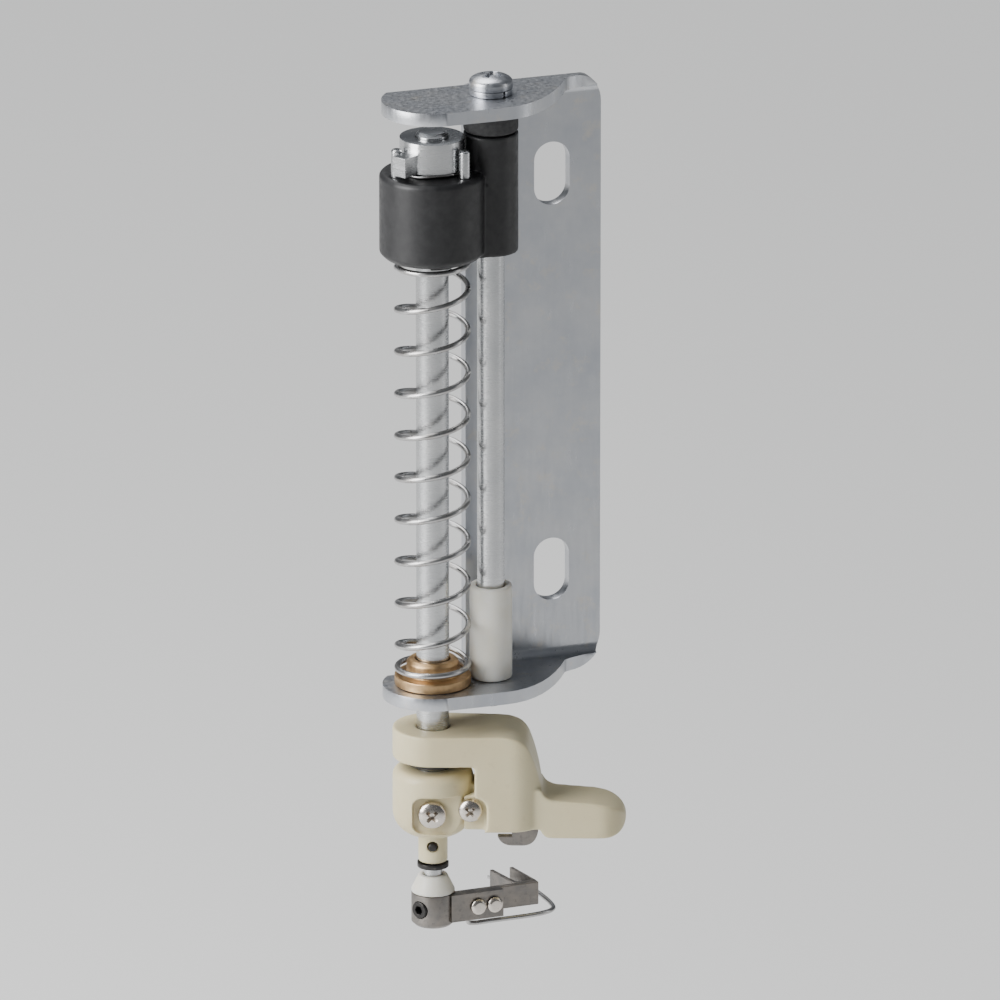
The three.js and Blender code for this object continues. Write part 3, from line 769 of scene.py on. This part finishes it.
RIVETS_X = (3.7, 5.3)
REACH = 9  # shaft axis to needle axis
WIRE_HOLE_X = 2.9
HOLDER_R = 2
STRIP_HALF = 1.1  # half height of the arm's strip and of the fork


def spacer_cone():
    bore = SHAFT_END_R + SEAT
    low = bottom("spacer_cone")
    profile = [(bore, low), (HOLDER_R, low), (HOLDER_R, low + 0.2), (1.3, CONE_TOP), (bore, CONE_TOP)]
    return lathe(profile, 0.15)


def hook_holder():
    bore = SHAFT_END_R + SEAT
    body = lathe(
        [
            (bore, HOLDER_UNDER),
            (HOLDER_R - 0.3, HOLDER_UNDER),
            (HOLDER_R, HOLDER_UNDER + 0.3),
            (HOLDER_R, HOLDER_TOP),
            (bore, HOLDER_TOP),
        ],
        0.0,
    )
    arm = block((1.1, 6.2), (-1.9, -0.7), (HOOK_Z - 1.3, HOOK_Z + 1.3))
    body = cut(joined(body, arm), post(bore, HOLDER_UNDER - 1, HOLDER_TOP + 1, sides=FULL_ROUND))
    cutters = [post(0.32, HOLDER_UNDER - 1, HOOK_Z, (WIRE_HOLE_X, -1.35), 24)]
    cutters.append(moved(cross_post(0.85, -4, -0.5, (0, HOOK_Z)), turn=-60))
    return bevelled(cut(body, *cutters), 0.1, 3, 35)


def hook_arm():
    strip = block((2.6, 10.15), (-0.65, -0.15), (HOOK_Z - STRIP_HALF, HOOK_Z + STRIP_HALF))
    return bevelled(strip, 0.08, 3)


def rivet(x):
    profile = [(0, -0.25), (0.5, -0.25), (0.75, -0.05), (0.75, 0.1), (0.4, 0.1), (0.4, 2.05), (0.75, 2.05)]
    profile += [(0.75, 2.2), (0.5, 2.4), (0, 2.4)]
    body = lathe(profile, 0.1, 32)
    return moved(moved(body, turn=90, about="X"), (x, 0, HOOK_Z))


def needle_fork():
    """Thin sheet folded to a U, its two prongs leaning in."""
    half = 1.15
    sheet = 0.35
    lean = math.radians(10)
    long = 4.2
    shift = -long * math.sin(lean)
    tip = long * math.cos(lean)
    outline = [
        (-half, 0),
        (half, 0),
        (half + shift, tip),
        (half - sheet + shift, tip),
        *arc((half - sheet - 0.3, sheet + 0.3), 0.3, 10, -90, 6),
        *arc((-half + sheet + 0.3, sheet + 0.3), 0.3, -90, -170, 6),
        (-half + sheet + shift, tip),
        (-half + shift, tip),
    ]
    fork = prism(outline, HOOK_Z - STRIP_HALF, HOOK_Z + STRIP_HALF)
    return moved(bevelled(fork, 0.08, 3, 35), (REACH, -0.1, 0))


def threading_hook():
    """Fine flat hook on an arc about the shaft, pointed, with its barb near the tip."""
    half = 0.18
    outline = arc((0, 0), REACH + half, 2, 30, 24)
    outline += arc((0, 0), REACH - 0.1, 35, 35, 1)[:1]
    outline += arc((0, 0), REACH - half, 31.5, 28.6, 3)
    outline += arc((0, 0), REACH + 0.02, 29.2, 27.4, 3)
    outline += arc((0, 0), REACH - half, 27, 2, 20)
    return bevelled(prism(outline, HOOK_Z - 0.15, HOOK_Z + 0.15), 0.03, 2, 40)


def thread_wire():
    low = HOLDER_UNDER - SEAT
    path = smooth_line(
        [
            (WIRE_HOLE_X, -1.35, HOOK_Z - 0.1),
            (WIRE_HOLE_X, -1.35, HOOK_Z - 1.5),
            (3.5, -1.35, low),
            (5.5, -1.35, low),
            (9.5, -1.3, low),
            (11.5, -0.6, low),
            (12, 1.2, low),
            (11.8, 4.4, low + 0.1),
            (11.2, 6, low + 0.5),
            (10.2, 6.3, low + 1.2),
        ]
    )
    return tube(path, 0.22, 16)


# ---- Materials ----


class Finish:
    """A Principled material and short ways to drive it."""

    def __init__(self, name, colour, rough, metal=0.0):
        self.material = bpy.data.materials.new(name)
        self.material.use_nodes = True
        self.nodes = self.material.node_tree.nodes
        self.links = self.material.node_tree.links
        self.shader = self.nodes["Principled BSDF"]
        self.colour = colour
        self.set("Base Color", (*colour, 1))
        self.set("Roughness", rough)
        self.set("Metallic", metal)
        self.coordinates = self.nodes.new("ShaderNodeTexCoord").outputs["Object"]
        self.normal = None

    def set(self, socket, value):
        self.shader.inputs[socket].default_value = value

    def noise(self, per_mm, detail=3.0, rough=0.5, stretch=(1, 1, 1)):
        mapping = self.nodes.new("ShaderNodeMapping")
        mapping.inputs["Scale"].default_value = [s * per_mm / MM for s in stretch]
        self.links.new(self.coordinates, mapping.inputs["Vector"])
        noise = self.nodes.new("ShaderNodeTexNoise")
        noise.inputs["Scale"].default_value = 1.0
        noise.inputs["Detail"].default_value = detail
        noise.inputs["Roughness"].default_value = rough
        self.links.new(mapping.outputs["Vector"], noise.inputs["Vector"])
        return noise.outputs["Fac"]

    def ramp(self, source, low, high, start=0.3, end=0.7):
        """Maps a texture to a range of values."""
        spread = self.nodes.new("ShaderNodeMapRange")
        spread.inputs["From Min"].default_value = start
        spread.inputs["From Max"].default_value = end
        spread.inputs["To Min"].default_value = low
        spread.inputs["To Max"].default_value = high
        self.links.new(source, spread.inputs["Value"])
        return spread.outputs["Result"]

    def tint(self, source, other, start=0.35, end=0.7):
        """Blends the base colour towards another where the texture is high."""
        mix = self.nodes.new("ShaderNodeMix")
        mix.data_type = "RGBA"
        below = self.shader.inputs["Base Color"]
        if below.is_linked:
            self.links.new(below.links[0].from_socket, mix.inputs["A"])
        else:
            mix.inputs["A"].default_value = (*self.colour, 1)
        mix.inputs["B"].default_value = (*other, 1)
        self.links.new(self.ramp(source, 0, 1, start, end), mix.inputs["Factor"])
        self.links.new(mix.outputs["Result"], below)

    def roughen(self, source, low, high, start=0.3, end=0.7):
        self.links.new(self.ramp(source, low, high, start, end), self.shader.inputs["Roughness"])

    def bump(self, source, depth, strength=1.0):
        """Adds relief of a depth in millimetres."""
        bump = self.nodes.new("ShaderNodeBump")
        bump.inputs["Distance"].default_value = depth * MM
        bump.inputs["Strength"].default_value = strength
        self.links.new(source, bump.inputs["Height"])
        if self.normal:
            self.links.new(self.normal, bump.inputs["Normal"])
        self.normal = bump.outputs["Normal"]
        self.links.new(self.normal, self.shader.inputs["Normal"])


def cream_plastic():
    finish = Finish("cream_plastic", (0.67, 0.60, 0.388), 0.4)
    finish.set("Subsurface Weight", 0.12)
    finish.set("Subsurface Radius", (1.0, 0.7, 0.4))
    finish.set("Subsurface Scale", 0.0012)
    finish.set("IOR", 1.5)
    finish.tint(finish.noise(0.16, 4), (0.63, 0.55, 0.345))
    finish.tint(finish.noise(1.5, 6, 0.65), (0.56, 0.48, 0.30), 0.58, 0.85)
    finish.roughen(finish.noise(0.5, 5, 0.6), 0.34, 0.5)
    finish.bump(finish.noise(9, 3), 0.012, 0.55)
    finish.bump(finish.noise(0.35, 2), 0.05, 0.25)
    return finish.material


def zinc_sheet():
    finish = Finish("zinc_sheet", (0.56, 0.57, 0.59), 0.34, 1.0)
    finish.tint(finish.noise(0.25, 5, 0.6), (0.47, 0.49, 0.53))
    finish.tint(finish.noise(0.6, 4, 0.7), (0.62, 0.59, 0.54), 0.55, 0.8)
    finish.roughen(finish.noise(0.8, 8, 0.7, (3, 3, 0.35)), 0.24, 0.46)
    finish.bump(finish.noise(5, 4, 0.6, (1, 1, 0.08)), 0.004, 0.4)
    finish.bump(finish.noise(1.4, 3), 0.012, 0.25)
    return finish.material


def ground_steel():
    finish = Finish("ground_steel", (0.60, 0.605, 0.61), 0.24, 1.0)
    finish.tint(finish.noise(0.3, 4), (0.52, 0.53, 0.54))
    finish.roughen(finish.noise(1, 4, 0.6, (0.5, 0.5, 6)), 0.2, 0.32)
    finish.bump(finish.noise(1, 3, 0.6, (0.3, 0.3, 8)), 0.0015, 0.3)
    return finish.material


def tempered_steel():
    finish = Finish("tempered_steel", (0.20, 0.19, 0.18), 0.36, 1.0)
    finish.tint(finish.noise(0.7, 5, 0.6), (0.27, 0.245, 0.22))
    finish.tint(finish.noise(2.2, 5, 0.7), (0.12, 0.115, 0.11), 0.55, 0.8)
    finish.roughen(finish.noise(1.6, 6, 0.65, (0.4, 1, 2.5)), 0.28, 0.5)
    finish.bump(finish.noise(5, 4), 0.003, 0.4)
    return finish.material


def nickel_steel():
    finish = Finish("nickel_steel", (0.70, 0.64, 0.58), 0.22, 1.0)
    finish.tint(finish.noise(0.5, 4), (0.59, 0.555, 0.50))
    finish.roughen(finish.noise(1.6, 6, 0.65), 0.17, 0.32)
    finish.bump(finish.noise(2.5, 4), 0.003, 0.3)
    return finish.material


def spring_steel():
    finish = Finish("spring_steel", (0.50, 0.50, 0.50), 0.3, 1.0)
    finish.tint(finish.noise(0.8, 4), (0.40, 0.385, 0.37))
    finish.roughen(finish.noise(1.2, 4, 0.6), 0.24, 0.36)
    finish.bump(finish.noise(2.5, 3), 0.002, 0.2)
    return finish.material


def blackened_steel():
    finish = Finish("blackened_steel", (0.045, 0.043, 0.042), 0.38, 0.85)
    finish.tint(finish.noise(2.2, 6, 0.7), (0.14, 0.13, 0.12), 0.56, 0.8)
    finish.roughen(finish.noise(2, 5, 0.6), 0.26, 0.5)
    finish.bump(finish.noise(6, 4), 0.005, 0.5)
    return finish.material


def bronze():
    finish = Finish("bronze", (0.62, 0.42, 0.22), 0.42, 1.0)
    finish.tint(finish.noise(1.2, 5, 0.6), (0.45, 0.29, 0.15))
    finish.roughen(finish.noise(2.5, 5, 0.6), 0.32, 0.55)
    finish.bump(finish.noise(11, 4, 0.7), 0.01, 0.5)
    return finish.material


def black_acetal():
    finish = Finish("black_acetal", (0.010, 0.010, 0.011), 0.42)
    finish.tint(finish.noise(1.3, 5, 0.6), (0.019, 0.019, 0.020))
    finish.roughen(finish.noise(1.2, 6, 0.6), 0.34, 0.54)
    finish.bump(finish.noise(8, 3), 0.01, 0.5)
    return finish.material


def white_nylon():
    finish = Finish("white_nylon", (0.76, 0.74, 0.68), 0.46)
    finish.set("Subsurface Weight", 0.25)
    finish.set("Subsurface Radius", (1.0, 0.8, 0.6))
    finish.set("Subsurface Scale", 0.0015)
    finish.tint(finish.noise(0.6, 4), (0.72, 0.69, 0.60))
    finish.roughen(finish.noise(1.5, 5), 0.4, 0.55)
    finish.bump(finish.noise(6, 3), 0.01, 0.4)
    return finish.material


def black_rubber():
    finish = Finish("black_rubber", (0.028, 0.028, 0.030), 0.78)
    finish.tint(finish.noise(2, 5, 0.6), (0.05, 0.05, 0.05))
    finish.roughen(finish.noise(3, 4), 0.7, 0.9)
    finish.bump(finish.noise(7, 4, 0.7), 0.02, 0.6)
    return finish.material


def pale_floor():
    finish = Finish("pale_floor", (0.80, 0.80, 0.79), 0.7)
    finish.tint(finish.noise(0.004, 3), (0.77, 0.77, 0.765))
    return finish.material


# ---- Placing ----

FINISHES = {
    "cream_plastic": cream_plastic(),
    "zinc_sheet": zinc_sheet(),
    "ground_steel": ground_steel(),
    "nickel_steel": nickel_steel(),
    "tempered_steel": tempered_steel(),
    "spring_steel": spring_steel(),
    "blackened_steel": blackened_steel(),
    "bronze": bronze(),
    "black_acetal": black_acetal(),
    "nylon": white_nylon(),
    "rubber": black_rubber(),
}
SLOTS = {s["node"]: s["material_slot"] for s in frame["record"]["subparts"]}
BODIES = {n: body for body, nodes in frame["record"]["behaviour"]["bodies"].items() for n in nodes}


def finish_piece(node, piece, centre=(0, 0), turn=0, flat_angle=40):
    """Puts a drawn piece in the frame as the finished form of its node."""
    slot = SLOTS[node]
    piece.name = node + "_finished"
    piece.data.name = piece.name
    moved(piece, (centre[0], centre[1], 0), turn)
    piece.data.transform(Matrix.Scale(MM, 4))
    piece.data.materials.clear()
    piece.data.materials.append(FINISHES[slot])
    piece.data.shade_smooth()
    piece.data.set_sharp_from_angle(angle=math.radians(flat_angle))
    weighted = piece.modifiers.new("weighted", "WEIGHTED_NORMAL")
    weighted.keep_sharp = True
    bake(piece)
    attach(piece, BODIES[node])
    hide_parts(node)
    return piece


def fixed_pieces():
    finish_piece("mounting_bracket", bracket())
    finish_piece("shaft_bush", shaft_bush(), SHAFT)
    finish_piece("guide_rod", guide_rod(), ROD)
    clip = e_clip(ROD_GROOVE_R, 2.3, bottom("guide_rod_clip"), top("guide_rod_clip"))
    finish_piece("guide_rod_clip", clip, ROD, -60)
    finish_piece("rod_lock_washer", lock_washer(), ROD)
    screw = moved(pan_screw(0.95, 2, 1.3, 4.4), (0, 0, top("rod_lock_washer") + SEAT))
    finish_piece("guide_rod_screw", screw, ROD)
    damper = ring_profile(ROD_R + HOLE_GAP, 2.5, bottom("upper_damper"), top("upper_damper"))
    finish_piece("upper_damper", lathe(damper, 0.3), ROD)
    sleeve = ring_profile(ROD_R + HOLE_GAP, 1.95, bottom("lower_stop_sleeve"), top("lower_stop_sleeve"))
    finish_piece("lower_stop_sleeve", lathe(sleeve, 0.25), ROD)
    spring = finish_piece("return_spring", return_spring(), SHAFT)
    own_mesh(spring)


def sliding_pieces():
    finish_piece("carriage_block", carriage_block(), SHAFT, 0, 180)
    for pin in STOP_PINS:
        finish_piece(pin, stop_pin(pin), centre_of(pin))


def turning_pieces():
    finish_piece("threader_shaft", threader_shaft(), SHAFT, LEVER_TURN)
    finish_piece("friction_washer", friction_washer(), SHAFT)
    finish_piece("stop_collar", stop_collar(), SHAFT, COLLAR_TURN)
    collar_level = (bottom("stop_collar") + top("stop_collar")) / 2
    grub = cross_screw(grub_screw(0.8, 1.35), (0, collar_level), -2.9)
    finish_piece("collar_screw", grub, SHAFT, COLLAR_TURN)
    clip = e_clip(SHAFT_R - GROOVE, 2.6, bottom("carriage_clip"), top("carriage_clip"))
    finish_piece("carriage_clip", clip, SHAFT, COLLAR_TURN)


def lever_pieces():
    finish_piece("finger_lever", finger_lever(), SHAFT, LEVER_TURN, 180)
    finish_piece("shaft_hub", shaft_hub(), SHAFT, LEVER_TURN, 180)
    hub_screw = cross_screw(pan_screw(0.9, 1.3, 0.9, 0.95), (0, SET_SCREW_Z), RECESS_FLOOR - SEAT)
    finish_piece("hub_set_screw", hub_screw, SHAFT, LEVER_TURN)
    lever_screw = cross_screw(pan_screw(0.8, 1.1, 0.9, 3.6), LEVER_SCREW_AT, RECESS_FLOOR - SEAT)
    finish_piece("lever_screw", lever_screw, SHAFT, LEVER_TURN)
    clip = e_clip(SHAFT_R - GROOVE, 2.6, bottom("lever_clip"), top("lever_clip"))
    finish_piece("lever_clip", clip, SHAFT, LEVER_TURN + 110)
    finish_piece("hub_pin", hub_pin(), SHAFT, LEVER_TURN)
    finish_piece("thread_guide", thread_guide(), SHAFT, LEVER_TURN)


def hook_pieces():
    clip = e_clip(SHAFT_END_R - END_GROOVE, 1.45, bottom("shaft_end_clip"), top("shaft_end_clip"))
    finish_piece("shaft_end_clip", clip, SHAFT, 30)
    finish_piece("spacer_cone", spacer_cone(), SHAFT, HOOK_TURN)
    finish_piece("hook_holder", hook_holder(), SHAFT, HOOK_TURN)
    grub = cross_screw(grub_screw(0.8, 1.15), (0, HOOK_Z), -2.1)
    finish_piece("holder_screw", grub, SHAFT, HOOK_TURN - 60)
    finish_piece("hook_arm", hook_arm(), SHAFT, HOOK_TURN)
    for node, x in zip(("hook_rivet_inner", "hook_rivet_outer"), RIVETS_X):
        finish_piece(node, rivet(x), SHAFT, HOOK_TURN)
    finish_piece("needle_fork", needle_fork(), SHAFT, HOOK_TURN)
    finish_piece("threading_hook", threading_hook(), SHAFT, HOOK_TURN)
    finish_piece("thread_wire", thread_wire(), SHAFT, HOOK_TURN)


# ---- Stage ----

AZIMUTH = -18.6  # degrees: the camera stands to the left of straight ahead
ELEVATION = 18.7
HALF_PICTURE = 0.56  # half the picture's height, as a share of the object's


def direction(azimuth, elevation):
    a, e = math.radians(azimuth), math.radians(elevation)
    return Vector((math.sin(a) * math.cos(e), -math.cos(a) * math.cos(e), math.sin(e)))


def camera():
    low, high = (Vector(corner) for corner in cad_bounds)
    data = bpy.data.cameras.new("camera")
    data.lens = 600
    half_angle = math.atan(data.sensor_width / 2 / data.lens)
    distance = (high.z - low.z) * HALF_PICTURE / math.tan(half_angle)
    back = direction(AZIMUTH, ELEVATION)
    seen = bpy.data.objects.new("camera", data)
    seen.location = (low + high) / 2 + back * distance
    seen.rotation_euler = (-back).to_track_quat("-Z", "Y").to_euler()
    data.clip_start = 0.1
    data.clip_end = 20
    bpy.context.scene.collection.objects.link(seen)
    bpy.context.scene.camera = seen


def softbox(name, azimuth, elevation, distance, size, power):
    """Soft light of width and height in metres, turned towards the middle of the object."""
    data = bpy.data.lights.new(name, "AREA")
    data.shape = "RECTANGLE"
    data.size, data.size_y = size
    data.energy = power
    lamp = bpy.data.objects.new(name, data)
    way = direction(azimuth, elevation)
    lamp.location = way * distance
    lamp.rotation_euler = (-way).to_track_quat("-Z", "Y").to_euler()
    bpy.context.scene.collection.objects.link(lamp)


def studio():
    """A tall light close by on the left, a thin weak one on the right and a large one above and behind."""
    softbox("key", -80, 22, 0.26, (0.16, 0.26), 1.35)
    softbox("fill", 62, 14, 0.24, (0.035, 0.24), 0.07)
    softbox("top", -155, 66, 1.2, (1.0, 0.8), 15.0)
    world = bpy.data.worlds.new("studio")
    world.use_nodes = True
    background = world.node_tree.nodes["Background"]
    background.inputs["Color"].default_value = (0.80, 0.84, 0.90, 1)
    background.inputs["Strength"].default_value = 0.16
    bpy.context.scene.world = world


def floor():
    """Pale table, low enough for the lever's whole travel."""
    travel = joint("lever_slide")["range_m"][1]
    level = cad_bounds[0][2] - travel - 3 * MM
    half = 3
    shape = bmesh.new()
    corners = ((-half, -half), (half, -half), (half, half), (-half, half))
    shape.faces.new([shape.verts.new((x, y, level)) for x, y in corners])
    table = object_of(shape, "floor")
    table.data.materials.append(pale_floor())


fixed_pieces()
sliding_pieces()
turning_pieces()
lever_pieces()
hook_pieces()
camera()
studio()
floor()
